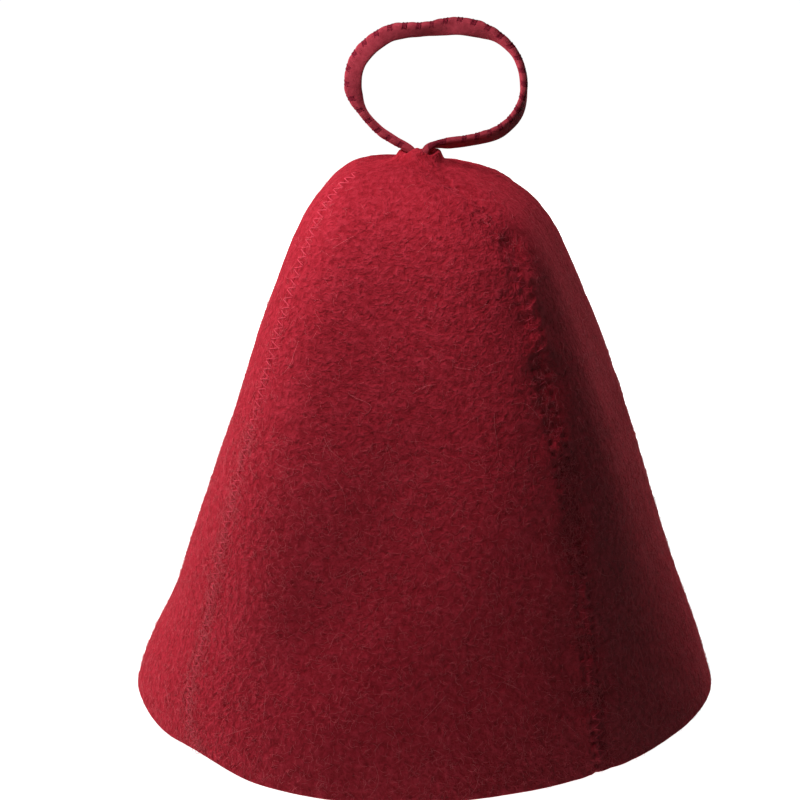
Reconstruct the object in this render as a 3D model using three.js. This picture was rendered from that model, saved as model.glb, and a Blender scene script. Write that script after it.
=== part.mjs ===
// A sauna hat of thick felt: a tall bell sewn from four equal gores, with a felt hanging loop at the tip.
// Millimetres, +Z up, the front towards -Y. The hat stands on its rim, open end down.
import * as THREE from "three";

const FELT = 3.0; // thickness of the gores' felt
const SEAM_GAP = 0.3; // between the cut edges of neighbouring gores
const STRIP_WIDTH = 7.1; // hanging loop's felt strip
const STRIP_THICKNESS = 3.0;
const STRIP_BEVEL = 0.9; // worn edges of the strip

const FELT_RED = 0x9c2636;
const LOOP_RED = 0x92283a;

// The seams, by their direction in degrees from the front, positive towards the right side. At the rim a
// seam drifts sideways by "drift" degrees and ends in a small notch, where the rim is raised by "lift".
const SEAMS = [
  { azimuth: -55, drift: 7, lift: 2.6 },
  { azimuth: 35, drift: 0.5, lift: 0.6 },
  { azimuth: 125, drift: 2, lift: 1.6 },
  { azimuth: 215, drift: -2, lift: 1.6 },
];
// A gore lies between two seams, its left edge on the first and its right edge on the second.
const GORES = [
  { name: "gore_front", left: 0, right: 1 },
  { name: "gore_right", left: 1, right: 2 },
  { name: "gore_back", left: 2, right: 3 },
  { name: "gore_left", left: 3, right: 0 },
];
const GORE_COLUMNS = 14;
const GORE_ROWS = 30;
const ROW_CROWDING = 1.3; // above 1, rows are closer together towards the tip

// The bell from the rim to the tip. Every level is a rounded square: "corner" is how far it swells at the
// seams and draws in between them, as a share of its radius. "leanX" and "leanY" are its centre.
const BELL = [
  { height: 0, radius: 120, corner: -0.01, leanX: 0.9, leanY: -5.5 },
  { height: 17.6, radius: 115.4, corner: 0.0, leanX: 0.8, leanY: -3.8 },
  { height: 44.1, radius: 106.2, corner: 0.02, leanX: 1.0, leanY: -0.3 },
  { height: 77.1, radius: 95.8, corner: 0.044, leanX: 1.0, leanY: 2.4 },
  { height: 110.2, radius: 85.6, corner: 0.058, leanX: 0.8, leanY: 3.6 },
  { height: 136.6, radius: 76.3, corner: 0.066, leanX: 0.7, leanY: 3.4 },
  { height: 158.6, radius: 67.9, corner: 0.071, leanX: 0.2, leanY: 2.8 },
  { height: 176.3, radius: 60.7, corner: 0.073, leanX: -0.2, leanY: 2.2 },
  { height: 191.7, radius: 53.8, corner: 0.075, leanX: -1.2, leanY: 1.6 },
  { height: 203.8, radius: 45.7, corner: 0.077, leanX: -3.2, leanY: 1.0 },
  { height: 212.6, radius: 34.9, corner: 0.079, leanX: -6.1, leanY: 0.6 },
  { height: 218.2, radius: 21.1, corner: 0.07, leanX: -9.1, leanY: 0.2 },
  { height: 220.0, radius: 13.4, corner: 0.04, leanX: -5.1, leanY: 0 },
  { height: 221.4, radius: 10.2, corner: 0.02, leanX: -3.4, leanY: 0 },
  { height: 223.8, radius: 8.3, corner: 0.01, leanX: -2.7, leanY: 0 },
];

// Soft swellings (positive) and hollows (negative) of the felt wall. A slanting one moves round the hat by
// "slant" degrees for each millimetre up.
const DENTS = [
  { name: "front rim swelling", azimuth: -30, height: 0, spread: 28, tall: 55, slant: 0, depth: 3.2 },
  { name: "front left rim flare", azimuth: -40, height: 0, spread: 17, tall: 34, slant: 0, depth: 1.4 },
  { name: "front rim drawn in", azimuth: 19, height: 0, spread: 20, tall: 38, slant: 0, depth: -2.2 },
  { name: "right rim drawn in", azimuth: 60, height: 0, spread: 25, tall: 55, slant: 0, depth: -5.3 },
  { name: "left rim flare", azimuth: -90, height: 6, spread: 22, tall: 14, slant: 0, depth: 0.8 },
  { name: "left lower hollow", azimuth: -80, height: 38, spread: 30, tall: 15, slant: 0, depth: -1.3 },
  { name: "left side hollow", azimuth: -80, height: 118, spread: 35, tall: 36, slant: 0, depth: -1.6 },
  { name: "left shoulder hollow", azimuth: -60, height: 205, spread: 40, tall: 18, slant: 0, depth: -1.3 },
  { name: "slanting front hollow", azimuth: -22, height: 72, spread: 9, tall: 48, slant: 0.3, depth: -1.8 },
  { name: "swelling beside it", azimuth: -2, height: 62, spread: 11, tall: 45, slant: 0.3, depth: 0.9 },
];
const DENT_FADE = 30; // dents fade out where the bell is narrower than this

const DRIFT_TALL = 26; // height over which a seam's drift dies out
const LIFT_SPREAD = 17; // degrees of rim raised to each side of a seam's end
const LIFT_TALL = 40; // height over which the lift dies out

const RIM_CUT = 9; // height over which the cut of the felt turns level with the rim
const TIP_GATHER = 1.1; // extra thickness at the tip, where the felt is gathered round the loop's ends
const TIP_GATHER_TALL = 7; // how far below the tip that begins

// The front gore's tip is a small tongue, which stands up against the ends of the hanging loop.
const TONGUE = { azimuth: -10, spread: 45, base: 216, rise: 3.1, drawnIn: 1.5 };

// Centre line of the hanging loop, from the left end to the right end. "turn" is the strip's turn about
// that line: 0 shows its stitched edge to the front, -90 turns that edge outwards, +90 inwards.
const LOOP = [
  { x: -4.9, z: 211.5, turn: 0 },
  { x: -4.9, z: 218.5, turn: 0 },
  { x: -5.1, z: 221.9, turn: 0 },
  { x: -5.8, z: 224.2, turn: 0 },
  { x: -8.4, z: 226.2, turn: 0 },
  { x: -12.6, z: 228.6, turn: -2 },
  { x: -19.0, z: 232.9, turn: -4 },
  { x: -25.7, z: 240.8, turn: -10 },
  { x: -29.1, z: 250.4, turn: -74 },
  { x: -26.5, z: 261.8, turn: -92 },
  { x: -15.0, z: 271.3, turn: -76 },
  { x: 0.1, z: 273.2, turn: -52 },
  { x: 13.4, z: 274.3, turn: -92 },
  { x: 26.9, z: 270.6, turn: -36 },
  { x: 35.2, z: 262.7, turn: -12 },
  { x: 38.4, z: 250.5, turn: 1 },
  { x: 35.8, z: 239.3, turn: 32 },
  { x: 28.0, z: 231.9, turn: 45 },
  { x: 17.0, z: 228.8, turn: 38 },
  { x: 9.0, z: 227.7, turn: 36 },
  { x: 5.2, z: 227.3, turn: 26 },
  { x: 2.0, z: 226.6, turn: 10 },
  { x: -0.4, z: 224.4, turn: 0 },
  { x: -0.7, z: 221.0, turn: 0 },
  { x: -0.7, z: 217.5, turn: 0 },
  { x: -0.7, z: 211.5, turn: 0 },
];
const LOOP_STEPS = 84;

const NUDGE = 0.02; // step for measuring slopes, as a share of a degree or a millimetre

const radians = (degrees) => (degrees * Math.PI) / 180;
const between = (low, value, high) => Math.min(high, Math.max(low, value));

// Degrees from one direction to another the short way round, -180 to 180.
const turnBetween = (from, to) => ((to - from + 540) % 360) - 180;

// Adds to every row how far along the table it is, as distances between rows add up.
function measured(rows, distance) {
  let along = 0;
  return rows.map((row, i) => {
    along += i === 0 ? 0 : distance(rows[i - 1], row);
    return { ...row, along };
  });
}

// One column of a table at a distance along it: a smooth curve through the rows.
function smooth(rows, column, along) {
  const last = rows.length - 1;
  const slope = (i) => {
    const before = rows[Math.max(0, i - 1)];
    const after = rows[Math.min(last, i + 1)];
    return (after[column] - before[column]) / (after.along - before.along);
  };
  let i = 0;
  while (i < last - 1 && along > rows[i + 1].along) {
    i += 1;
  }
  const start = rows[i];
  const end = rows[i + 1];
  const step = end.along - start.along;
  const t = between(0, (along - start.along) / step, 1);
  const rise = t * t * (3 - 2 * t);
  return (
    start[column] * (1 - rise) +
    end[column] * rise +
    step * slope(i) * t * (1 - t) * (1 - t) -
    step * slope(i + 1) * t * t * (1 - t)
  );
}

const bell = measured(BELL, (a, b) => Math.hypot(b.height - a.height, b.radius - a.radius));
const bellLength = bell[bell.length - 1].along;
const loop = measured(LOOP, (a, b) => Math.hypot(b.x - a.x, b.z - a.z));
const loopLength = loop[loop.length - 1].along;

// How far the wall stands out or in at a place, all the dents together.
function dent(azimuth, height, radius) {
  const fade = between(0, radius / DENT_FADE, 1);
  return DENTS.reduce((sum, row) => {
    const middle = row.azimuth + row.slant * (height - row.height);
    const round = turnBetween(middle, azimuth) / row.spread;
    const up = (height - row.height) / row.tall;
    return sum + row.depth * fade * Math.exp(-round * round - up * up);
  }, 0);
}

// How far the rim is raised near the end of a seam.
function rimLift(azimuth) {
  return SEAMS.reduce((sum, row) => {
    const away = Math.min(1, Math.abs(turnBetween(row.azimuth + row.drift, azimuth)) / LIFT_SPREAD);
    return sum + (row.lift * (1 + Math.cos(Math.PI * away))) / 2;
  }, 0);
}

// How much of the tongue there is at a place: from 0 at its foot and sides to 1 in the middle of its top.
function tongue(azimuth, height) {
  const away = Math.min(1, Math.abs(turnBetween(TONGUE.azimuth, azimuth)) / TONGUE.spread);
  const up = Math.max(0, (height - TONGUE.base) / (BELL[BELL.length - 1].height - TONGUE.base));
  return (up * up * (1 + Math.cos(Math.PI * away))) / 2;
}

// The direction of a seam at a height.
function seamAt(seam, height) {
  const low = Math.max(0, 1 - height / DRIFT_TALL);
  return seam.azimuth + seam.drift * low * low;
}

// The outer face of the felt at a direction and a distance up the bell from the rim.
function outerFace(azimuth, along) {
  const height = smooth(bell, "height", along);
  const square = smooth(bell, "corner", along) * Math.cos(radians(4 * (azimuth - SEAMS[0].azimuth)));
  const plain = smooth(bell, "radius", along);
  const tip = tongue(azimuth, height);
  const radius = plain * (1 + square) + dent(azimuth, height, plain) - TONGUE.drawnIn * tip;
  const raised = rimLift(azimuth) * Math.max(0, 1 - height / LIFT_TALL) + TONGUE.rise * tip;
  return new THREE.Vector3(
    smooth(bell, "leanX", along) + radius * Math.sin(radians(azimuth)),
    smooth(bell, "leanY", along) - radius * Math.cos(radians(azimuth)),
    height + raised,
  );
}

// The inner face, one thickness of felt behind the outer one, and more where the tip is gathered. At the
// rim it stays level with the outer face, so that the rim is cut flat. At a seam it lies straight in along
// the seam's own direction, so that the two cut edges stay the same distance apart.
function innerFace(azimuth, along, seam) {
  const outer = outerFace(azimuth, along);
  const round = outerFace(azimuth + NUDGE, along).sub(outerFace(azimuth - NUDGE, along));
  const up = outerFace(azimuth, Math.min(bellLength, along + NUDGE));
  up.sub(outerFace(azimuth, Math.max(0, along - NUDGE)));
  const normal = round.cross(up).normalize();
  const level = Math.hypot(normal.x, normal.y);
  const tilt = between(0, along / RIM_CUT, 1);
  const reach = (1 - tilt * normal.z * normal.z) / (level * level);
  const wide = tilt === 1 ? 1 : reach;
  const thickness = FELT + TIP_GATHER * Math.max(0, 1 - (bellLength - along) / TIP_GATHER_TALL);
  const inward = new THREE.Vector3(normal.x * wide, normal.y * wide, normal.z * tilt);
  inward.multiplyScalar(-thickness);
  if (seam !== null) {
    const sideways = new THREE.Vector3(Math.cos(radians(seam)), Math.sin(radians(seam)), 0);
    inward.addScaledVector(sideways, -inward.dot(sideways));
  }
  return outer.add(inward);
}

// The sides of a body from its rings of points, each ring joined to the next. A ring's last side is split
// along its other diagonal, which makes the cut edges on the two sides of a seam alike.
function bodyFromRings(rings) {
  const size = rings[0].length;
  const points = rings.flat();
  const faces = [];
  for (let r = 0; r + 1 < rings.length; r += 1) {
    for (let i = 0; i < size; i += 1) {
      const a = r * size + i;
      const b = r * size + ((i + 1) % size);
      const shared = i === size - 1 ? [a + size, b] : [b + size, a];
      faces.push(a, b, shared[0], shared[1], b + size, a + size);
    }
  }
  return { points, faces, size };
}

function meshOf(name, points, faces, colour) {
  const geometry = new THREE.BufferGeometry().setFromPoints(points);
  geometry.setIndex(faces);
  geometry.computeVertexNormals();
  const material = new THREE.MeshStandardMaterial({ color: colour, roughness: 0.95, metalness: 0 });
  const mesh = new THREE.Mesh(geometry, material);
  mesh.name = name;
  return mesh;
}

// A gore: the outer face from seam to seam and back along the inner face is one ring, and the rings are
// stacked from the rim to the tip.
function makeGore({ name, left, right }) {
  const rings = [];
  for (let row = 0; row <= GORE_ROWS; row += 1) {
    const along = bellLength * (1 - Math.pow(1 - row / GORE_ROWS, ROW_CROWDING));
    const height = smooth(bell, "height", along);
    const margin = (SEAM_GAP / 2 / smooth(bell, "radius", along)) * (180 / Math.PI);
    const seams = [seamAt(SEAMS[left], height), seamAt(SEAMS[right], height)];
    const start = seams[0] + margin;
    const sweep = (seams[1] - seams[0] - 2 * margin + 360) % 360;
    const outer = [];
    const inner = [];
    for (let column = 0; column <= GORE_COLUMNS; column += 1) {
      const azimuth = start + (sweep * column) / GORE_COLUMNS;
      const seam = column % GORE_COLUMNS === 0 ? seams[column / GORE_COLUMNS] : null;
      outer.push(outerFace(azimuth, along));
      inner.unshift(innerFace(azimuth, along, seam));
    }
    rings.push([...outer, ...inner]);
  }
  const { points, faces, size } = bodyFromRings(rings);
  const top = points.length - size;
  for (let i = 0; i < GORE_COLUMNS; i += 1) {
    const across = size - 1 - i;
    faces.push(i, across, across - 1, i, across - 1, i + 1);
    faces.push(top + i, top + across - 1, top + across, top + i, top + i + 1, top + across - 1);
  }
  return meshOf(name, points, faces, FELT_RED);
}

// The strip's outline across its length: a flat bar with bevelled edges.
function stripOutline() {
  const w = STRIP_WIDTH / 2;
  const t = STRIP_THICKNESS / 2;
  const b = STRIP_BEVEL;
  return [
    [w, t - b],
    [w - b, t],
    [b - w, t],
    [-w, t - b],
    [-w, b - t],
    [b - w, -t],
    [w - b, -t],
    [w, b - t],
  ];
}

// The hanging loop: the strip's outline carried along the centre line and turned about it.
function makeLoop() {
  const outline = stripOutline();
  const across = new THREE.Vector3(0, 1, 0);
  const rings = [];
  for (let step = 0; step <= LOOP_STEPS; step += 1) {
    const along = (loopLength * step) / LOOP_STEPS;
    const centre = (at) => new THREE.Vector3(smooth(loop, "x", at), 0, smooth(loop, "z", at));
    const before = centre(Math.max(0, along - NUDGE));
    const path = centre(Math.min(loopLength, along + NUDGE)).sub(before).normalize();
    const turn = radians(smooth(loop, "turn", along));
    const outward = path.clone().cross(across);
    const wide = across.clone().multiplyScalar(Math.cos(turn)).addScaledVector(outward, Math.sin(turn));
    const thick = path.clone().cross(wide);
    const middle = centre(along);
    rings.push(outline.map(([w, t]) => middle.clone().addScaledVector(wide, w).addScaledVector(thick, t)));
  }
  const { points, faces, size } = bodyFromRings(rings);
  const top = points.length - size;
  for (let i = 1; i + 1 < size; i += 1) {
    faces.push(0, i + 1, i);
    faces.push(top, top + i, top + i + 1);
  }
  return meshOf("hanging_loop", points, faces, LOOP_RED);
}

const hat = new THREE.Group();
hat.name = "sauna_hat";
GORES.forEach((gore) => hat.add(makeGore(gore)));
hat.add(makeLoop());

// The origin is the middle of the hat's footprint, on the ground.
const middle = new THREE.Box3().setFromObject(hat).getCenter(new THREE.Vector3());
hat.children.forEach((mesh) => mesh.geometry.translate(-middle.x, -middle.y, 0));

export default hat;
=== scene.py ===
import math

import bpy
import numpy as np
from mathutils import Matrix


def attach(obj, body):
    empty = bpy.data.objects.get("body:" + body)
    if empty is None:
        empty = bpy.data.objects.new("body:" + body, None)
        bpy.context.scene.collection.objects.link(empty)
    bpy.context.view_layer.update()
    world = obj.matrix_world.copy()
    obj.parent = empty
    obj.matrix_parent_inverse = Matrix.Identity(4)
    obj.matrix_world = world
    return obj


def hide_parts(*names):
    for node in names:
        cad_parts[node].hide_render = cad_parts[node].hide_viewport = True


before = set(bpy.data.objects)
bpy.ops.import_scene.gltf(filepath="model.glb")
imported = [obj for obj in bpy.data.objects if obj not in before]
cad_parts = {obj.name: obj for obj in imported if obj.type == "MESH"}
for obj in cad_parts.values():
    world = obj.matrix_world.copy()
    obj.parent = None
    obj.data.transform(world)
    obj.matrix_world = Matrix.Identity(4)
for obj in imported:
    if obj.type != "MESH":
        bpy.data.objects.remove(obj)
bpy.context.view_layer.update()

# ---- The four gores -------------------------------------------------------------------------------
# The hat is a tall bell of wool felt about 3 mm thick. It is cut as four equal gores, laid edge to edge
# and joined by zigzag seams, so every level of it is a circle squared a little towards its seams.

FELT_THICK = 3.0
SEAM_GAP = 0.12  # between the cut edges of two gores
SEAM_ROUND, RIM_ROUND = 0.22, 0.8  # radius of a gore's edge at a seam, and at the rim and the tip


def table(columns, rows):
    """A table with named columns, each of them an array over the rows."""
    return dict(zip(columns.split(), np.array(rows, dtype=float).T))


def running_length(first, second):
    """Distance along a row of points, added up from their two coordinates."""
    return np.append(0, np.cumsum(np.hypot(np.diff(first), np.diff(second))))


# Sizes in this file are millimetres until a mesh is made. "along" is the distance up the wall from the rim.
# "corner" is how far a level swells at the seams and draws in between them, as a share of its radius.
bell = table("height radius corner lean_x lean_y", [
    (0, 120, -0.010, 0.9, -5.5),
    (17.6, 115.4, 0, 0.8, -3.8),
    (44.1, 106.2, 0.020, 1.0, -0.3),
    (77.1, 95.8, 0.044, 1.0, 2.4),
    (110.2, 85.6, 0.058, 0.8, 3.6),
    (136.6, 76.3, 0.066, 0.7, 3.4),
    (158.6, 67.9, 0.071, 0.2, 2.8),
    (176.3, 60.7, 0.073, -0.2, 2.2),
    (191.7, 53.8, 0.075, -1.2, 1.6),
    (203.8, 45.7, 0.077, -3.2, 1.0),
    (212.6, 34.9, 0.079, -6.1, 0.6),
    (218.2, 21.1, 0.070, -9.1, 0.2),
    (220, 13.4, 0.040, -5.1, 0),
    (221.4, 10.2, 0.020, -3.4, 0),
    (223.8, 8.3, 0.010, -2.7, 0),
])
bell["along"] = running_length(bell["height"], bell["radius"])
BELL_LENGTH = bell["along"][-1]
BELL_TOP = bell["height"][-1]

# Each dent: direction in degrees from the front, height, spread in degrees, how tall, how many degrees it
# slants for each millimetre up, how far out.
dents = [
    (-30, 0, 28, 55, 0, 3.2),  # the front of the rim swells
    (-40, 0, 17, 34, 0, 1.4),  # and flares on its left
    (19, 0, 20, 38, 0, -2.2),  # and is drawn in on its right
    (60, 0, 25, 55, 0, -5.3),  # the right side of the rim is drawn in
    (-90, 6, 22, 14, 0, 0.8),  # the left side of the rim flares
    (-80, 38, 30, 15, 0, -1.3),  # low hollow on the left side
    (-80, 118, 35, 36, 0, -1.6),  # wide hollow on the left side
    (-60, 205, 40, 18, 0, -1.3),  # flatter left shoulder
    (-22, 72, 9, 48, 0.3, -1.8),  # slanting hollow in front
    (1, 62, 12, 45, 0.3, 3.0),  # swelling beside it
    (-19, 68, 17, 52, 0.33, -2.3),  # wider hollow round it
    (30, 47, 5, 10, 0, -1.3),  # small hollow by the right-hand seam
]
DENT_FADE = 30  # dents fade out where the bell's radius is smaller than this

# Each seam: its direction, its sideways drift at the rim, how far its end is lifted off the ground, and how
# tight its thread was pulled, from 0 to 1.
seams = [
    {"name": "front_left", "azimuth": -55, "drift": 7, "lift": 2.6, "pull": 0.0},
    {"name": "front_right", "azimuth": 35, "drift": 0.5, "lift": 0.6, "pull": 1.0},
    {"name": "back_right", "azimuth": 125, "drift": 2, "lift": 1.6, "pull": 0.7},
    {"name": "back_left", "azimuth": 215, "drift": -2, "lift": 1.6, "pull": 0.7},
]
DRIFT_TALL = 26  # height over which a seam's drift dies out
LIFT_SPREAD, LIFT_TALL = 17, 40  # degrees to each side, and height, over which a seam's lift dies out
gores = {"gore_front": (0, 1), "gore_right": (1, 2), "gore_back": (2, 3), "gore_left": (3, 0)}

# The front gore ends in a small tongue: its middle, the degrees that it spreads to each side, the height
# where it begins, how far it rises and how far it is drawn in.
TONGUE_AZIMUTH, TONGUE_SPREAD, TONGUE_BASE, TONGUE_RISE, TONGUE_IN = -10, 45, 216, 3.1, 1.5
# The lip at the tip rises under the loop on both sides, from this height by this much.
LIP_BASE, LIP_RISE = 219, 1.2


def smooth(rows, column, at):
    """A column of a table at distances along it: on each step a cubic that takes both rows' values and
    the slopes between their neighbours."""
    knots, values = rows["along"], rows[column]
    slope = np.empty(len(knots))
    slope[1:-1] = (values[2:] - values[:-2]) / (knots[2:] - knots[:-2])
    slope[0] = (values[1] - values[0]) / (knots[1] - knots[0])
    slope[-1] = (values[-1] - values[-2]) / (knots[-1] - knots[-2])
    i = np.clip(np.searchsorted(knots, at, side="right") - 1, 0, len(knots) - 2)
    step = knots[i + 1] - knots[i]
    t = np.clip((at - knots[i]) / step, 0, 1)
    rise = t * t * (3 - 2 * t)
    bend = slope[i] * t * (1 - t) ** 2 - slope[i + 1] * t * t * (1 - t)
    return values[i] * (1 - rise) + values[i + 1] * rise + step * bend


def hump(away, reach):
    """A bell curve, 1 in its middle: exp(-(away / reach)^2)."""
    return np.exp(-((away / reach) ** 2))


def fade_out(away):
    """1 at 0, down to 0 at 1 and beyond, by half a cosine wave."""
    return (1 + np.cos(np.pi * np.clip(away, 0, 1))) / 2


def tip_share(height, base):
    """How far up the tip a height is, as a square: 0 at the base and below it, 1 at the top."""
    return np.clip((height - base) / (BELL_TOP - base), 0, 1) ** 2


def turn_between(start, end):
    """Degrees from one direction to another the short way round."""
    return (end - start + 540) % 360 - 180


def seam_direction(seam, height):
    """A seam's direction at a height: straight, with a drift that dies out above the rim by a square."""
    return seam["azimuth"] + seam["drift"] * np.clip(1 - height / DRIFT_TALL, 0, None) ** 2


def tongue_share(azimuth):
    """1 in the middle of the front gore's tongue, 0 beside it, by a cosine between."""
    return fade_out(np.abs(turn_between(TONGUE_AZIMUTH, azimuth)) / TONGUE_SPREAD)


def plain_wall(azimuth, along):
    """Outer face of the felt: radius times (1 + corner x cos 4(direction - seam)), with each dent added as
    a bell curve in direction and height, round a centre that leans. The rim is raised at the ends of the
    seams. At the tip the front gore rises as a small tongue against the ends of the loop, and the lip
    rises a little under the loop on both sides."""
    height, radius = smooth(bell, "height", along), smooth(bell, "radius", along)
    square = smooth(bell, "corner", along) * np.cos(np.radians(4 * (azimuth - seams[0]["azimuth"])))
    reach = radius * (1 + square)
    for facing, level, spread, tall, slant, out in dents:
        above = height - level
        aside = turn_between(facing + slant * above, azimuth)
        reach = reach + out * np.clip(radius / DENT_FADE, 0, 1) * hump(aside, spread) * hump(above, tall)
    lift = 0 * reach
    for seam in seams:
        away = np.abs(turn_between(seam["azimuth"] + seam["drift"], azimuth))
        lift = lift + seam["lift"] * fade_out(away / LIFT_SPREAD)
    tongue = tongue_share(azimuth) * tip_share(height, TONGUE_BASE)
    lip = np.sin(np.radians(azimuth)) ** 2 * tip_share(height, LIP_BASE)
    reach = reach - TONGUE_IN * tongue
    x = smooth(bell, "lean_x", along) + reach * np.sin(np.radians(azimuth))
    y = smooth(bell, "lean_y", along) - reach * np.cos(np.radians(azimuth))
    z = height + lift * np.clip(1 - height / LIFT_TALL, 0, 1) + TONGUE_RISE * tongue + LIP_RISE * lip
    return np.stack(np.broadcast_arrays(x, y, z), axis=-1)


def unit(vectors):
    """Vectors divided by their lengths."""
    return vectors / np.linalg.norm(vectors, axis=-1, keepdims=True)


NUDGE = 0.05  # half the step over which slopes are measured, in degrees or millimetres


def wall_normal(azimuth, along):
    """Outward normal of the plain wall: its slope round the hat crossed with its slope up the hat."""
    round_way = plain_wall(azimuth + NUDGE, along) - plain_wall(azimuth - NUDGE, along)
    low, high = np.clip(along - NUDGE, 0, None), np.clip(along + NUDGE, None, BELL_LENGTH)
    return unit(np.cross(round_way, plain_wall(azimuth, high) - plain_wall(azimuth, low)))


# Everything random in this file is drawn from this one source, in the order in which the hat is made.
chance = np.random.default_rng(11)


def waves(count, shortest, longest):
    """Plane waves in all directions, with lengths between two limits: their wave vectors and where each
    one starts."""
    ways = unit(chance.normal(size=(count, 3)))
    lengths = chance.uniform(shortest, longest, (count, 1))
    return ways * (2 * np.pi / lengths), chance.uniform(0, 2 * np.pi, count)


def ripple(points, wave_set):
    """Waves added up at points, with a typical height of 1."""
    vectors, start = wave_set
    return np.sin(points @ vectors.T + start).sum(axis=-1) * math.sqrt(2 / len(start))


slow_waves, quick_waves = waves(40, 22, 60), waves(90, 5, 12)
pucker_waves, tuft_waves = waves(60, 9, 30), waves(120, 2.5, 7)
SLOW_HEIGHT, QUICK_HEIGHT = 0.08, 0.05


def unevenness(points):
    """The felt is never quite flat: slow waves of 22 to 60 mm and quick ones of 5 to 12 mm."""
    return SLOW_HEIGHT * ripple(points, slow_waves) + QUICK_HEIGHT * ripple(points, quick_waves)


ZIGZAG_WIDTH = 6.0
ZIGZAG_PERIOD = 4.2

# What a seam does to the felt beside it: how deep or high where the thread is slack, how much more where it
# is tight, and how far to each side it reaches.
VALLEY_SLACK, VALLEY_TIGHT, VALLEY_REACH = 0.02, 0.33, 2.6
RIDGE_TIGHT, RIDGE_REACH = 0.6, 10
PUCKER_TIGHT, PUCKER_REACH = 0.45, 9
TUFT_SLACK, TUFT_TIGHT, TUFT_REACH = 0.05, 0.13, 5
HOLE_SLACK, HOLE_REACH, HOLE_POWER = 0.06, 0.9, 1.5
hole_tight = table("along deep", [(130, 1.1), (180, 0.45)])  # shallower towards the tip
SEAM_FADE = 30  # distance from the tip over which all of this dies out

# How far the felt is bunched out or in along the right-hand front seam, and how far aside of it, at heights
# above the rim.
BUNCHED_SEAM, BUNCH_REACH = 1, 5
bunching = table("height out aside", [
    (0, 0.2, 0),
    (30, 0.4, 0),
    (60, 0.1, 0),
    (72, 0.4, 0),
    (90, -0.6, 0),
    (108, -0.5, 0),
    (125, 0.4, 0),
    (144, -1.8, 2),
    (156, 0.3, 2),
    (168, 1.4, 3),
    (184, 1.5, 4),
    (197, -3.0, 4),
    (206, -1.2, 3),
    (214, -3.2, 3),
    (222, 0, 0),
])


def seam_relief(points, sideways, along, number):
    """What the zigzag does to the felt beside a seam: a shallow valley over the joint, on a soft ridge
    where the gores meet at an angle, irregular puckers beside it that are deeper where the thread was
    pulled tighter, tufts of wool that hang over it, and a dimple at every needle hole. Along one seam the
    felt is bunched as well."""
    away = np.abs(sideways)
    pull = seams[number]["pull"]
    joint = -(VALLEY_SLACK + VALLEY_TIGHT * pull) * hump(sideways, VALLEY_REACH)
    joint = joint + RIDGE_TIGHT * pull * np.exp(-away / RIDGE_REACH)
    if number == BUNCHED_SEAM:
        height = smooth(bell, "height", along)
        out = np.interp(height, bunching["height"], bunching["out"])
        aside = np.interp(height, bunching["height"], bunching["aside"])
        joint = joint + out * hump(sideways - aside, BUNCH_REACH)
    puckers = PUCKER_TIGHT * pull * ripple(points, pucker_waves) * hump(sideways, PUCKER_REACH)
    tufts = (TUFT_SLACK + TUFT_TIGHT * pull) * ripple(points, tuft_waves) * hump(sideways, TUFT_REACH)
    turn = along / ZIGZAG_PERIOD + 0.5 * (sideways > 0)
    hole = np.clip(np.cos(2 * np.pi * turn), 0, 1) ** HOLE_POWER * hump(away - ZIGZAG_WIDTH / 2, HOLE_REACH)
    hole_deep = HOLE_SLACK + pull * np.interp(along, hole_tight["along"], hole_tight["deep"])
    return (joint + puckers + tufts - hole_deep * hole) * np.clip((BELL_LENGTH - along) / SEAM_FADE, 0, 1)


# The model's origin is the middle of the rim's footprint, which is a little off the hat's own axis.
rim_round = plain_wall(np.arange(0, 360, 0.5), np.zeros(720))
footprint_middle = (rim_round[:, :2].min(axis=0) + rim_round[:, :2].max(axis=0)) / 2
MM = 0.001  # a millimetre, in metres


def add_mesh(name, points, faces):
    """A mesh object from an array of points in millimetres round the hat's own axis and an array of
    faces, put in the row frame, where the footprint's middle is the origin."""
    placed = points.reshape(-1, 3) - np.append(footprint_middle, 0)
    mesh = bpy.data.meshes.new(name)
    mesh.from_pydata((placed * MM).tolist(), [], faces if isinstance(faces, list) else faces.tolist())
    mesh.polygons.foreach_set("use_smooth", np.ones(len(faces), dtype=bool))
    mesh.update()
    piece = bpy.data.objects.new(name, mesh)
    bpy.context.scene.collection.objects.link(piece)
    return piece


def ring_faces(rings, size):
    """Quads that join each ring of points to the next one, all the way round."""
    start = np.arange(rings - 1)[:, None] * size
    around = np.arange(size)[None, :]
    here, there = start + around, start + (around + 1) % size
    return np.stack([here, there, there + size, here + size], axis=-1).reshape(-1, 4)


GORE_ROWS, EDGE_ROWS = 300, 6  # rows of points up the wall, and more of them at each rounded edge
HALF_COLUMNS = 44  # columns from a gore's middle to each of its seams
INNER_STEP = 4  # the inner face has one column for so many of the outer one's
ROW_CROWDING, COLUMN_CROWDING = 1.15, 1.7  # above 1, rows crowd towards the tip, columns towards the seams
RIM_CUT, TIP_CUT = 9, 4  # distance over which the way through the felt turns level, at the rim and the tip
BACK_FOLLOWS = 0.4  # share of the outer face's unevenness that the inner face has

# The slot in the tip that the loop's two ends fill: how far it is from its middle to its left, to its right,
# and to its front and back, and how square its corners are.
SLOT_LEFT, SLOT_RIGHT, SLOT_DEEP, SLOT_POWER = 5.3, 4.6, 4.0, 5
# How the inner face closes in on the slot: over what distance below the tip, in a curve of what power, and
# how far below the outer face it ends.
GATHER_TALL, GATHER_POWER, GATHER_DROP = 7, 1.5, 0.2


def rounding(edge, radius):
    """How far a face drops at a distance from its cut edge, where the edge is a quarter circle."""
    return radius - np.sqrt(radius**2 - (radius - np.clip(edge, 0, radius)) ** 2)


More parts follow.
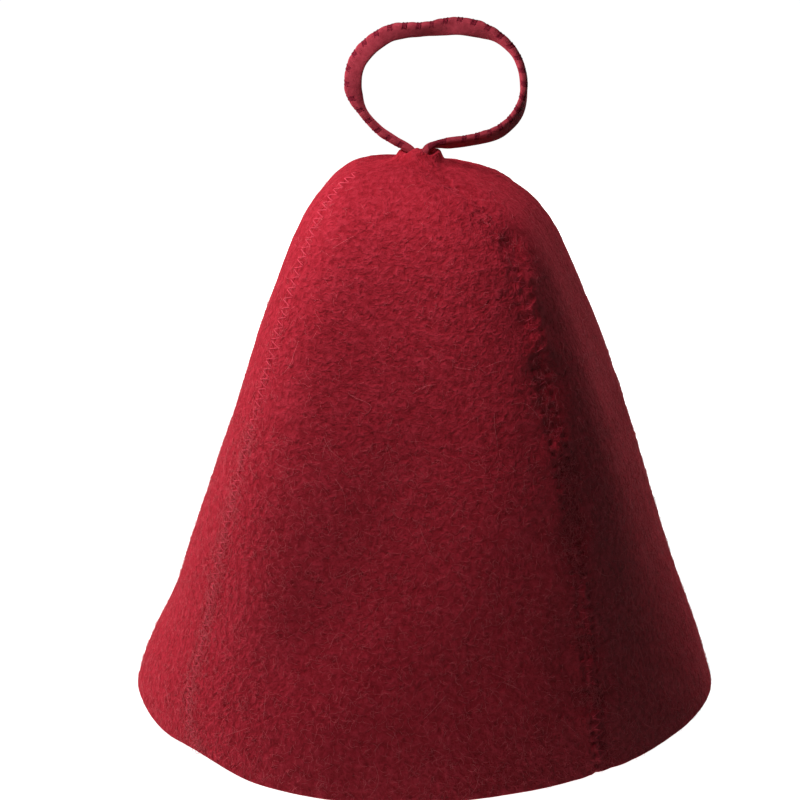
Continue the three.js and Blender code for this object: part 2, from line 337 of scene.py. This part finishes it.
def slot_reach(azimuth):
    """Middle to edge of the slot in the tip: a superellipse of power 5, longer on the left."""
    across, deep = np.sin(np.radians(azimuth)), np.cos(np.radians(azimuth))
    side = np.where(across < 0, SLOT_LEFT, SLOT_RIGHT)
    share = np.abs(across / side) ** SLOT_POWER + np.abs(deep / SLOT_DEEP) ** SLOT_POWER
    return share ** (-1 / SLOT_POWER)


def inward_ways(azimuth, along, height, left, right):
    """From the outer face to the inner one, for each millimetre of felt: against the wall's normal, but
    level at the rim and the tip, where the felt is cut through level, and longer there to keep its
    thickness. At a seam, whatever points aside is taken out, so that both gores' cut edges are parallel."""
    normal = wall_normal(azimuth, along)
    tilt = np.clip(np.minimum(along / RIM_CUT, (BELL_LENGTH - along) / TIP_CUT), 0, 1)
    level = np.linalg.norm(normal[..., :2], axis=-1)
    wide = np.where(tilt < 1, (1 - tilt * normal[..., 2] ** 2) / level**2, 1)
    inward = -normal * np.stack(np.broadcast_arrays(wide, wide, tilt), axis=-1)
    for column, number in ((0, left), (-1, right)):
        facing = np.radians(seam_direction(seams[number], height[:, 0]))
        sideways = np.stack([np.cos(facing), np.sin(facing), 0 * facing], axis=-1)
        inward[:, column] -= (inward[:, column] * sideways).sum(axis=-1, keepdims=True) * sideways
    return inward


def gore_mesh(name, left, right):
    """One gore: a ring runs across the outer face from seam to seam and back along the inner face, and
    rings are stacked from rim to tip. Columns crowd towards the seams, and all cut edges are rounded. The
    inner face closes in on the slot below the tip, where the felt is gathered round the loop's ends."""
    edge_rows = RIM_ROUND * (1 - np.cos(np.linspace(0, np.pi / 2, EDGE_ROWS)))
    wall_rows = 1 - (1 - np.linspace(0, 1, GORE_ROWS)[1:-1]) ** ROW_CROWDING
    wall_rows = RIM_ROUND + (BELL_LENGTH - 2 * RIM_ROUND) * wall_rows
    along = np.concatenate([edge_rows, wall_rows, BELL_LENGTH - edge_rows[::-1]])[:, None]
    height, radius = smooth(bell, "height", along), smooth(bell, "radius", along)
    margin = np.degrees(SEAM_GAP / 2 / radius)
    start = seam_direction(seams[left], height) + margin
    sweep = (seam_direction(seams[right], height) - margin - start) % 360
    half = 0.5 * np.linspace(0, 1, HALF_COLUMNS + 1) ** COLUMN_CROWDING
    share = np.append(half, 1 - half[-2::-1])[None, :]
    azimuth = start + sweep * share
    to_left = np.radians(sweep * share) * radius
    to_right = np.radians(sweep * (1 - share)) * radius

    outer, inward = plain_wall(azimuth, along), inward_ways(azimuth, along, height, left, right)
    out = unevenness(outer) + seam_relief(outer, to_left, along, left)
    out = out + seam_relief(outer, -to_right, along, right)
    inset = rounding(np.minimum(to_left, to_right), SEAM_ROUND)
    inset = np.maximum(inset, rounding(np.minimum(along, BELL_LENGTH - along), RIM_ROUND))
    face = outer - inward * (out - inset)[..., None]
    back = outer + inward * (FELT_THICK - inset - BACK_FOLLOWS * out)[..., None]

    reach = slot_reach(azimuth) + inset
    slot_x = bell["lean_x"][-1] + reach * np.sin(np.radians(azimuth))
    slot_y = bell["lean_y"][-1] - reach * np.cos(np.radians(azimuth))
    slot_z = height - GATHER_DROP + TONGUE_RISE * tongue_share(azimuth)
    gathered = np.clip(1 - (BELL_LENGTH - along) / GATHER_TALL, 0, 1)[..., None] ** GATHER_POWER
    back = back * (1 - gathered) + np.stack([slot_x, slot_y, slot_z], axis=-1) * gathered

    rings = np.concatenate([face, back[:, ::-INNER_STEP]], axis=1)
    count, size = rings.shape[:2]
    i = np.arange(2 * HALF_COLUMNS // INNER_STEP)[:, None]
    outer_edge = INNER_STEP * (i + 1) - np.arange(INNER_STEP + 1)
    cap = np.concatenate([size - 1 - i, size - 2 - i, outer_edge], axis=1)
    faces = ring_faces(count, size).tolist() + cap.tolist() + (cap[:, ::-1] + (count - 1) * size).tolist()
    return add_mesh(name, rings, faces)


class Value:
    """A number in a material. Sums, differences and products of it add their Math nodes."""

    def __init__(self, finish, socket):
        self.finish, self.socket = finish, socket

    def math(self, operation, first, second=0.0):
        """One Math node on one or two values."""
        return self.finish.node("ShaderNodeMath", {"operation": operation}, {0: first, 1: second})[0]

    def __add__(self, other):
        return self.math("ADD", self, other)

    def __sub__(self, other):
        return self.math("SUBTRACT", self, other)

    def __rsub__(self, other):
        return self.math("SUBTRACT", other, self)

    def __mul__(self, other):
        return self.math("MULTIPLY", self, other)

    def __abs__(self):
        return self.math("ABSOLUTE", self)

    __radd__ = __add__
    __rmul__ = __mul__


OBJECT_COORDINATES = 3  # the Texture Coordinate node's output that gives them


class Finish:
    """A material being made, node by node, on a Principled shader."""

    def __init__(self, name):
        self.material = bpy.data.materials.new(name)
        self.material.use_nodes = True
        self.tree = self.material.node_tree
        self.shader = self.tree.nodes["Principled BSDF"]

    def node(self, kind, settings, sockets):
        """One node: its settings first, then the values or links of its sockets; gives its outputs."""
        made = self.tree.nodes.new(kind)
        for key, value in settings.items():
            if key == "stops":
                elements = made.color_ramp.elements
                while len(elements) < len(value):
                    elements.new(0.5)
                for element, (place, colour) in zip(elements, value):
                    element.position, element.color = place, (*colour, 1)
            else:
                setattr(made, key, value)
        for key, value in sockets.items():
            self.feed(made.inputs[key], value)
        return [Value(self, socket) for socket in made.outputs]

    def feed(self, socket, value):
        """A link where the value comes from a node, and otherwise a plain value on the socket."""
        if isinstance(value, Value):
            self.tree.links.new(value.socket, socket)
        else:
            socket.default_value = value

    def set(self, **sockets):
        """Values or links on the Principled shader itself, with _ for a space in the socket's name."""
        for key, value in sockets.items():
            self.feed(self.shader.inputs[key.replace("_", " ")], value)


def noise(finish, place, scale, detail, **more):
    """Soft noise from 0 to 1, with so many clumps for each metre."""
    sockets = {"Vector": place, "Scale": scale, "Detail": detail, **more}
    return finish.node("ShaderNodeTexNoise", {}, sockets)[0]


def ramp(finish, by, *stops):
    """A colour that runs through its stops, each of them a place from 0 to 1 and a colour."""
    return finish.node("ShaderNodeValToRGB", {"stops": stops}, {"Fac": by})[0]


def bump(finish, height, strength, distance):
    """A relief from a height between 0 and 1, of a distance in metres."""
    sockets = {"Strength": strength, "Distance": distance, "Height": height}
    return finish.node("ShaderNodeBump", {}, sockets)[0]


WEB_SHARP = 2.4  # the higher, the thinner the lines


def fibre_web(finish, place, scale, seed):
    """Matted fibres: the soft lines where a warped noise passes through its middle value, 1 on a line. The
    seed moves it aside, so that two webs don't lie on each other."""
    aside = (seed, 2.7 * seed, -1.3 * seed)
    moved = finish.node("ShaderNodeVectorMath", {"operation": "ADD"}, {0: place, 1: aside})[0]
    line = 1 - abs(noise(finish, moved, scale, detail=2.0, Distortion=0.8) * 2 - 1) * WEB_SHARP
    return line.math("MAXIMUM", line, 0.0)


# The grain's share is painted shade and painted light: it darkens the felt where the grain's relief is low
# and lightens it where it is high.
WEB_TONE, GRAIN_PAINTED_SHADE, MOTTLE_TONE = 0.22, 1.9, 0.2  # how far each pattern lightens or darkens the felt
TONE_LOWERED, TONE_MIDDLE = 0.12, 0.36  # taken off before the contrast is applied, and added after it
WEB_RELIEF = 0.14  # height of the fibres on the grain, for a grain of height 1


def felt_finish(name, deep, middle, light, sheen, relief, contrast):
    """Matted wool: a soft grain of small clumps, thin lighter fibres that lie on it, slow mottling, and a
    sheen from the fibres that stand up. The colour follows the grain's relief: it is painted darker in the
    hollows as painted shade and lighter on the clumps as painted light."""
    finish = Finish(name)
    place = finish.node("ShaderNodeTexCoord", {}, {})[OBJECT_COORDINATES]
    webs = fibre_web(finish, place, scale=300.0, seed=0.3) + fibre_web(finish, place, scale=520.0, seed=0.7)
    grain = noise(finish, place, scale=400.0, detail=4.0, Roughness=0.68)
    mottle = noise(finish, place, scale=28.0, detail=2.0)
    # The grain darkens the colour in the hollows of the bump below and lightens it on its clumps: painted
    # shade and painted light.
    tone_and_painted_shade = webs * WEB_TONE + (grain - 0.5) * GRAIN_PAINTED_SHADE + (mottle - 0.5) * MOTTLE_TONE - TONE_LOWERED
    finish.set(
        Base_Color=ramp(finish, tone_and_painted_shade * contrast + TONE_MIDDLE, (0.0, deep), (0.45, middle), (1.0, light)),
        Normal=bump(finish, webs * WEB_RELIEF + grain, strength=relief, distance=0.0008),
        Roughness=1.0,
        Sheen_Weight=sheen,
        Sheen_Roughness=0.3,
        Sheen_Tint=(0.9, 0.06, 0.10, 1),
        Specular_IOR_Level=0.2,
    )
    return finish.material


felt = felt_finish(
    "wool_felt",
    deep=(0.27, 0.010, 0.017),
    middle=(0.46, 0.020, 0.036),
    light=(0.69, 0.044, 0.075),
    sheen=0.35,
    relief=2.0,
    contrast=0.85,
)
for node, (left, right) in gores.items():
    piece = gore_mesh(node + "_felt", left, right)
    piece.data.materials.append(felt)
    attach(piece, "root")
    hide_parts(node)

# ---- The zigzag seams -----------------------------------------------------------------------------
# Each seam is one thread of spun polyester in the felt's colour, sewn by machine in a flat zigzag that
# spans the two cut edges. It goes down into the felt at every turn.

THREAD_THICK, THREAD_SIDES = 0.40, 5
STROKE_STEPS = 6  # points on the thread's path in each stroke from side to side
SEAM_START, SEAM_END = 1.5, 16  # where it starts above the rim, and how much shorter than the wall it is
SWING_VARIES = 0.15  # from one stroke to another
THREAD_ABOVE = 0.12  # how far the middle of a slack thread lies above the felt
BURIED_LEAST, BURIED_MORE = 0.18, 0.34  # how far at least, and how much more at most, a tight one sinks in
RIM_TALL, RIM_SHARE = 50, 0.35  # it sinks in less near the rim, over this height, down to this share
DIVE_FROM, DIVE_POWER = 0.6, 1.5  # the thread goes down after this share of the swing to the side
TUBE_END = 0.05  # a tube's ends have this share of its radius


def end_fans(rings, size):
    """Fans of triangles that close the first ring of points and the last one."""
    corner = np.arange(1, size - 1)
    fan = np.stack([0 * corner, corner + 1, corner], axis=-1)
    return np.concatenate([fan, fan[:, ::-1] + (rings - 1) * size])


def tube(path, radius, sides, wide=None):
    """A closed tube: a circle carried along each row of points, square to the path. Its ends are drawn
    in to a point. path is (points, 3) or (threads, points, 3); gives points and faces."""
    path = path if path.ndim == 3 else path[None]
    ahead = unit(np.gradient(path, axis=1))
    first = unit(np.cross(ahead, wide if wide is not None else np.array([0.0, 0.0, 1.0])))
    second = np.cross(ahead, first)
    turn = np.arange(sides) * 2 * np.pi / sides
    thick = np.broadcast_to(radius, path.shape[:2]).copy()
    thick[:, [0, -1]] *= TUBE_END
    circle = first[:, :, None] * np.cos(turn)[:, None] + second[:, :, None] * np.sin(turn)[:, None]
    points = path[:, :, None] + circle * thick[:, :, None, None]
    threads, steps = path.shape[:2]
    faces = ring_faces(steps, sides)
    triangles = np.concatenate([faces[:, [0, 1, 2]], faces[:, [0, 2, 3]], end_fans(steps, sides)])
    triangles = triangles[None] + (np.arange(threads) * steps * sides)[:, None, None]
    return points.reshape(-1, 3), triangles.reshape(-1, 3)


def on_felt(number, sideways, along, above):
    """A point near a seam, so far sideways of it on the felt's real face and so far above that face, with
    the wall's normal there."""
    height, radius = smooth(bell, "height", along), smooth(bell, "radius", along)
    azimuth = seam_direction(seams[number], height) + np.degrees(sideways / radius)
    place, normal = plain_wall(azimuth, along), wall_normal(azimuth, along)
    out = unevenness(place) + seam_relief(place, sideways, along, number) + above
    return place + normal * out[..., None], normal


def seam_thread(number):
    """The thread swings from side to side as it climbs: a triangle wave sideways, with a dive into the
    felt that is sharp at each turn and a low arch between turns. How far each stroke swings varies, and a
    tight thread is drawn into the felt more in some strokes than in others."""
    turns = np.arange(0, (BELL_LENGTH - SEAM_END) / ZIGZAG_PERIOD, 1 / (2 * STROKE_STEPS))
    along = SEAM_START + turns * ZIGZAG_PERIOD
    swing = 1 - 4 * np.abs(((turns + 0.5) % 1) - 0.5)
    steps = np.arange(len(turns))
    stroke = (steps + STROKE_STEPS // 2) // STROKE_STEPS
    varies = chance.normal(0, SWING_VARIES, len(turns) // STROKE_STEPS + 2)[stroke]
    knots = np.arange(0, len(turns) + STROKE_STEPS, STROKE_STEPS)
    tight = np.interp(steps, knots, chance.uniform(0, 1, len(knots)))
    sideways = -swing * (ZIGZAG_WIDTH / 2 + varies)
    buried = (BURIED_LEAST + BURIED_MORE * tight) * seams[number]["pull"]
    buried = buried * np.clip(along / RIM_TALL, RIM_SHARE, 1)
    dive = (np.clip(np.abs(swing) - DIVE_FROM, 0, 1) / (1 - DIVE_FROM)) ** DIVE_POWER
    path, normal = on_felt(number, sideways, along, THREAD_ABOVE - buried - dive)
    return tube(path, THREAD_THICK / 2, THREAD_SIDES, normal)


def thread_finish(name, dark, light):
    """Spun thread or a single fibre: a fine uneven twist, painted lighter on its ridges and darker in its
    grooves as painted light and painted shade, and dull.
    """
    finish = Finish(name)
    place = finish.node("ShaderNodeTexCoord", {}, {})[OBJECT_COORDINATES]
    twist = noise(finish, place, scale=3000.0, detail=1.0)
    finish.set(
        # The colour follows the twist's relief: painted shade in its grooves and painted light on its
        # ridges.
        Base_Color=ramp(finish, twist, (0.3, dark), (0.7, light)),
        Normal=bump(finish, twist, strength=0.5, distance=0.0001),
        Roughness=0.9,
        Specular_IOR_Level=0.02,
    )
    return finish.material


thread = thread_finish("seam_thread", (0.60, 0.05, 0.085), (0.88, 0.10, 0.15))
for number, seam in enumerate(seams):
    points, faces = seam_thread(number)
    piece = add_mesh("zigzag_" + seam["name"], points, faces)
    piece.data.materials.append(thread)
    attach(piece, "root")

# ---- The hanging loop -----------------------------------------------------------------------------
# A strip of the same felt, 7 mm wide and overcast along one edge, bent round and twisted a little. Both
# ends go down through the tip of the hat and are sewn on the inside.

STRIP_WIDTH, STRIP_THICK = 7.1, 3.0
STRIP_POWER = 3.4  # how square the strip's shoulders are
STRIP_UNEVEN = 0.07  # height of the waves in its face
LOOP_STEPS, LOOP_SIDES = 480, 24

# The strip's path from its left end to its right end, with its turn about that path in degrees.
loop = table("x z turn", [
    (-4.9, 211.5, 0),
    (-4.9, 218.5, 0),
    (-5.1, 221.9, 0),
    (-5.8, 224.2, 0),
    (-8.4, 226.2, 0),
    (-12.6, 228.6, -2),
    (-19.0, 232.9, -4),
    (-25.7, 240.8, -10),
    (-29.1, 250.4, -74),
    (-26.5, 261.8, -92),
    (-15.0, 271.3, -76),
    (0.1, 273.2, -52),
    (13.4, 274.3, -92),
    (26.9, 270.6, -36),
    (35.2, 262.7, -12),
    (38.4, 250.5, 1),
    (35.8, 239.3, 32),
    (28.0, 231.9, 45),
    (17.0, 228.8, 38),
    (9.0, 227.7, 36),
    (5.2, 227.3, 26),
    (2.0, 226.6, 10),
    (-0.4, 224.4, 0),
    (-0.7, 221.0, 0),
    (-0.7, 217.5, 0),
    (-0.7, 211.5, 0),
])
loop["along"] = running_length(loop["x"], loop["z"])
LOOP_LENGTH = loop["along"][-1]

# The overcast stitches are evenly spaced, with a few close together where the sewing ends.
SEWN_FROM = 19  # from the strip's left end
SEWN_TO, CLOSE_FROM = 26, 21.2  # from its right end: where the even stitches stop and the close ones begin
STITCH_PITCH, CLOSE_PITCH, CLOSE_COUNT = 5.3, 1.8, 4
even_stitches = np.arange(SEWN_FROM, LOOP_LENGTH - SEWN_TO, STITCH_PITCH)
close_stitches = LOOP_LENGTH - CLOSE_FROM + CLOSE_PITCH * np.arange(CLOSE_COUNT)
stitches = np.append(even_stitches, close_stitches)

EDGE_THICK, EDGE_OUT = 0.9, 0.15  # the sewn edge's share of the strip's thickness, and how far it bulges
# How far a stitch draws that edge in, what share of its thickness it takes off, and how far to each side.
PINCH_IN, PINCH_THINNER, PINCH_REACH = 0.5, 0.25, 1.2


def loop_middle(along):
    """Middle of the strip at distances along it: a smooth curve in the plane of the loop."""
    return np.stack([smooth(loop, "x", along), 0 * along, smooth(loop, "z", along)], axis=-1)


def loop_frame(along):
    """Middle of the strip at distances along it, with the directions of its width and thickness: the
    width is turned about the path by "turn", and lies along the y axis where turn is 0."""
    before, after = np.clip(along - NUDGE, 0, None), np.clip(along + NUDGE, None, LOOP_LENGTH)
    ahead = unit(loop_middle(after) - loop_middle(before))
    turn = np.radians(smooth(loop, "turn", along))[:, None]
    across = np.array([0.0, 1.0, 0.0])
    wide = across * np.cos(turn) + np.cross(ahead, across) * np.sin(turn)
    return loop_middle(along), wide, np.cross(ahead, wide)


def strip_reach(along):
    """How far the overcast edge stands out, and what share of its thickness it has: full between
    stitches, and pinched at each one by a bell curve."""
    pinch = hump(along[:, None] - stitches, PINCH_REACH).sum(axis=1)
    return STRIP_WIDTH / 2 + EDGE_OUT - PINCH_IN * pinch, 1.0 - PINCH_THINNER * pinch


def loop_mesh(name):
    """The strip: a flat oval with square shoulders, a superellipse of power 3.4, carried along the path.
    The overcast edge is narrower and thinner at every stitch, and each end is closed by a fan."""
    along = np.linspace(0, LOOP_LENGTH, LOOP_STEPS)
    middle, wide, thick = loop_frame(along)
    angle = np.arange(LOOP_SIDES) * 2 * np.pi / LOOP_SIDES
    w = np.sign(np.cos(angle)) * np.abs(np.cos(angle)) ** (2 / STRIP_POWER)
    t = np.sign(np.sin(angle)) * np.abs(np.sin(angle)) ** (2 / STRIP_POWER)
    reach, flat = strip_reach(along)
    sewn = np.clip(-w, 0, 1)[None] ** 2
    across = w[None] * (STRIP_WIDTH / 2 * (1 - sewn) + reach[:, None] * sewn)
    through = t[None] * STRIP_THICK / 2 * (1 - sewn * (1 - flat[:, None] * EDGE_THICK))
    rings = middle[:, None] + wide[:, None] * across[..., None] + thick[:, None] * through[..., None]
    out = STRIP_UNEVEN * ripple(rings, quick_waves)
    rings = rings + unit(rings - middle[:, None]) * out[..., None]
    faces = ring_faces(LOOP_STEPS, LOOP_SIDES).tolist() + end_fans(LOOP_STEPS, LOOP_SIDES).tolist()
    return add_mesh(name, rings, faces)


# The strip is the same felt as the hat, but this copy of it is darker and a little more purple. The
# darkening is painted shade on the loop.
loop_felt = felt_finish(
    "loop_felt",
    deep=(0.235, 0.018, 0.029),
    middle=(0.36, 0.037, 0.056),
    light=(0.50, 0.062, 0.088),
    sheen=0.15,
    relief=0.3,
    contrast=0.6,
)
piece = loop_mesh("hanging_loop_felt")
piece.data.materials.append(loop_felt)
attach(piece, "root")
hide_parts("hanging_loop")

STITCH_THICK, STITCH_SIDES = 0.66, 6
STITCH_TURNS = np.array([-1.5, -0.5, 0.5, 1.5]) * 0.48  # where the turns of a stitch lie beside its middle
STITCH_SLANT = 0.8  # how far a turn leads on one face and trails on the other
STITCH_ROUND = 0.72 * np.pi  # how far round the edge a turn goes on each face
STITCH_INSIDE, STITCH_REACH = 1.35, 1.4  # middle of a turn's arc inside the edge, and the arc's radius
STITCH_SUNK = 0.95  # share of the strip's own thickness at which a turn lies
ARC_STEPS = 15


def overcast_stitches():
    """Each stitch is four turns of thread laid side by side and wrapped over the sewn edge: an arc from
    one face of the strip over its edge to the other face, slanted forwards."""
    arc = np.linspace(-1, 1, ARC_STEPS)
    turns = (stitches[:, None] + STITCH_TURNS).ravel()
    at = (turns[:, None] + STITCH_SLANT * arc[None]).ravel()
    middle, wide, thick = loop_frame(at)
    reach, flat = strip_reach(np.repeat(turns, ARC_STEPS))
    over = np.tile(arc, len(turns)) * STITCH_ROUND
    edge = -(reach - STITCH_INSIDE) - STITCH_REACH * np.cos(over)
    side = np.sin(over) * (STRIP_THICK / 2 * flat * STITCH_SUNK)
    path = middle + wide * edge[:, None] + thick * side[:, None]
    return tube(path.reshape(len(turns), ARC_STEPS, 3), STITCH_THICK / 2, STITCH_SIDES)


points, faces = overcast_stitches()
piece = add_mesh("overcast_stitches", points, faces)
loop_thread = thread_finish("overcast_thread", (0.16, 0.012, 0.024), (0.27, 0.022, 0.042))
piece.data.materials.append(loop_thread)
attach(piece, "root")

# ---- Loose fibres ---------------------------------------------------------------------------------
# Single wool fibres work loose from the felt's face and stand up or lie curled on it. They catch the
# light and blur the hat's outline.

FIBRES_PER_GORE = 5500
FIBRE_THICK, FIBRE_STEPS = 0.10, 5
FIBRE_SIDES = 3
SEAM_SHARE, SEAM_SPREAD = 0.28, 3.0  # share of the fibres that grow close to a seam, and how close
TIP_BARE = 6  # no fibres grow so close to the tip
ROOT_ABOVE = 0.02  # a fibre's root lies so far above the felt
TURN_BACK, AIM_FAR = 1, 1.5  # a fibre that aims lower than this, so many lengths away, runs the other way
FLOOR_CLEAR = 0.1  # no part of a fibre is lower than this


def fibre_roots(left, right, count):
    """Random places on a gore, about as many for each square millimetre at the tip as at the rim: a place
    that is drawn where the bell is narrow is often moved to its lower half. An extra share of them is
    close to the two seams. Gives direction and distance up the wall."""
    along = np.sort(chance.random((count, 2)) * (BELL_LENGTH - TIP_BARE))
    narrow = chance.random(count) > smooth(bell, "radius", along[:, 1]) / bell["radius"][0]
    along = np.where(narrow, chance.random(count) * 0.5 * BELL_LENGTH, along[:, 0])
    height, radius = smooth(bell, "height", along), smooth(bell, "radius", along)
    start = seam_direction(seams[left], height)
    sweep = (seam_direction(seams[right], height) - start) % 360
    near = chance.normal(0, SEAM_SPREAD, count)
    across = chance.random(count) * sweep
    by_seam = chance.random(count) < SEAM_SHARE
    across = np.where(by_seam, np.degrees(near / radius) + sweep * (near < 0), across)
    return start + across, along


def fibre_paths(azimuth, along, length, curl, rise, steps):
    """Each fibre runs along the felt in a random direction, but never down past the rim, bends sideways as
    a sine, and rises off the face as a low arch. Gives the paths and the normals at their roots."""
    root, normal = plain_wall(azimuth, along), wall_normal(azimuth, along)
    root = root + normal * (unevenness(root) + ROOT_ABOVE)[:, None]
    way = unit(np.cross(normal, chance.normal(size=root.shape)))
    way = np.where((root[:, 2] + AIM_FAR * way[:, 2] * length < TURN_BACK)[:, None], -way, way)
    side = np.cross(normal, way)
    t = np.linspace(0, 1, steps)[None]
    bend = (curl * length)[:, None] * np.sin(chance.uniform(2, 5, (len(root), 1)) * t)
    lift = rise[:, None] * np.sin(np.pi * t)
    path = root[:, None] + way[:, None] * (length[:, None] * t)[..., None]
    path = path + side[:, None] * bend[..., None] + normal[:, None] * lift[..., None]
    path[..., 2] = np.maximum(path[..., 2], FLOOR_CLEAR)
    return path, normal[:, None]


fibre = thread_finish("loose_fibre", (0.62, 0.07, 0.10), (0.90, 0.20, 0.23))
for node, (left, right) in gores.items():
    azimuth, along = fibre_roots(left, right, FIBRES_PER_GORE)
    length = chance.uniform(1.6, 4.6, FIBRES_PER_GORE)
    curl = chance.normal(0, 0.4, FIBRES_PER_GORE)
    rise = np.abs(chance.normal(0.2, 0.27, FIBRES_PER_GORE))
    path, normal = fibre_paths(azimuth, along, length, curl, rise, FIBRE_STEPS)
    points, faces = tube(path, FIBRE_THICK / 2, FIBRE_SIDES, normal)
    piece = add_mesh(node + "_fibres", points, faces)
    piece.data.materials.append(fibre)
    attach(piece, "root")

LONG_HAIRS = 110
HAIR_THICK, HAIR_STEPS = 0.12, 14
HAIR_TOP = 0.9  # share of the wall, from the rim up, that long hairs grow on
azimuth = chance.uniform(0, 360, LONG_HAIRS)
along = chance.beta(1, 1.6, LONG_HAIRS) * BELL_LENGTH * HAIR_TOP
length = chance.uniform(6, 15, LONG_HAIRS)
curl = chance.normal(0, 0.2, LONG_HAIRS)
rise = chance.uniform(0.3, 0.8, LONG_HAIRS)
path, normal = fibre_paths(azimuth, along, length, curl, rise, HAIR_STEPS)
points, faces = tube(path, HAIR_THICK / 2, FIBRE_SIDES, normal)
piece = add_mesh("long_hairs", points, faces)
hair = thread_finish("long_hair", (0.70, 0.10, 0.13), (0.85, 0.22, 0.25))
piece.data.materials.append(hair)
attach(piece, "root")

# ---- Stage: floor, lights and camera --------------------------------------------------------------
# The hat stands on a wide, plain, pale floor. A soft lamp hangs high on its left and a stronger one stands
# low on its far left. A large one behind it on the right lights its edge, and two weak ones light it from
# below, as a pale floor does. Dim light comes from all round.

FLOOR_REACH = 10  # metres from the hat to the floor's edges
floor_corners = [(x * FLOOR_REACH, y * FLOOR_REACH, 0) for x, y in ((-1, -1), (1, -1), (1, 1), (-1, 1))]
floor_mesh = bpy.data.meshes.new("floor")
floor_mesh.from_pydata(floor_corners, [], [(0, 1, 2, 3)])
floor = bpy.data.objects.new("floor", floor_mesh)
bpy.context.scene.collection.objects.link(floor)
floor_finish = Finish("pale_floor")
floor_finish.set(
    Base_Color=(0.8, 0.8, 0.8, 1),
    Roughness=0.9,
    Emission_Color=(1, 1, 1, 1),
    Emission_Strength=1.0,
)
floor.data.materials.append(floor_finish.material)
# It glows evenly, but it throws no light on the hat and lets the light of the lamps below it through.
floor.visible_diffuse = False
floor.visible_shadow = False

HAT_MIDDLE = np.array([0, 0, 0.12])  # the point that the lamps face, in metres


def add_lamp(name, azimuth, elevation, distance, size, power):
    """A square soft lamp that faces the hat, placed by its direction, how many degrees it stands above
    the hat, and its distance. It gives no glints, because wool has no shine."""
    turn, up = math.radians(azimuth), math.radians(elevation)
    way = np.array([math.sin(turn) * math.cos(up), -math.cos(turn) * math.cos(up), math.sin(up)])
    data = bpy.data.lights.new(name, "AREA")
    data.shape, data.size, data.energy = "SQUARE", size, power
    lamp = bpy.data.objects.new(name, data)
    lamp.location = HAT_MIDDLE + way * distance
    lamp.rotation_euler = (math.radians(90 - elevation), 0, turn)
    lamp.visible_camera = False
    lamp.visible_glossy = False
    bpy.context.scene.collection.objects.link(lamp)


add_lamp("lamp_high_left", azimuth=-45, elevation=60, distance=0.28, size=0.12, power=0.44)
add_lamp("lamp_low_left", azimuth=-106, elevation=-3, distance=0.7, size=0.2, power=5.1)
add_lamp("lamp_behind_right", azimuth=158, elevation=20, distance=0.9, size=0.5, power=6.3)
add_lamp("lamp_under_front", azimuth=-15, elevation=-50, distance=0.35, size=0.2, power=0.285)
add_lamp("lamp_under_right", azimuth=55, elevation=-50, distance=0.35, size=0.2, power=0.05)

LIGHT_ALL_ROUND = 0.03
world = bpy.data.worlds.new("studio")
world.use_nodes = True
world.node_tree.nodes["Background"].inputs["Color"].default_value = (1, 1, 1, 1)
world.node_tree.nodes["Background"].inputs["Strength"].default_value = LIGHT_ALL_ROUND
bpy.context.scene.world = world
bpy.context.scene.view_settings.view_transform = "Standard"

CAMERA_ELEVATION = 17.4
CAMERA_DISTANCE = 1.1
CAMERA_LENS = 120.8
AIM_X, AIM_HEIGHT = -0.0106, 0.1205  # from the hat's own axis and the floor, in metres
aim = np.array([AIM_X - footprint_middle[0] * MM, -footprint_middle[1] * MM, AIM_HEIGHT])
up = math.radians(CAMERA_ELEVATION)
camera_data = bpy.data.cameras.new("camera")
camera_data.lens = CAMERA_LENS
camera = bpy.data.objects.new("camera", camera_data)
camera.location = aim + CAMERA_DISTANCE * np.array([0, -math.cos(up), math.sin(up)])
camera.rotation_euler = (math.radians(90) - up, 0, 0)
bpy.context.scene.collection.objects.link(camera)
bpy.context.scene.camera = camera
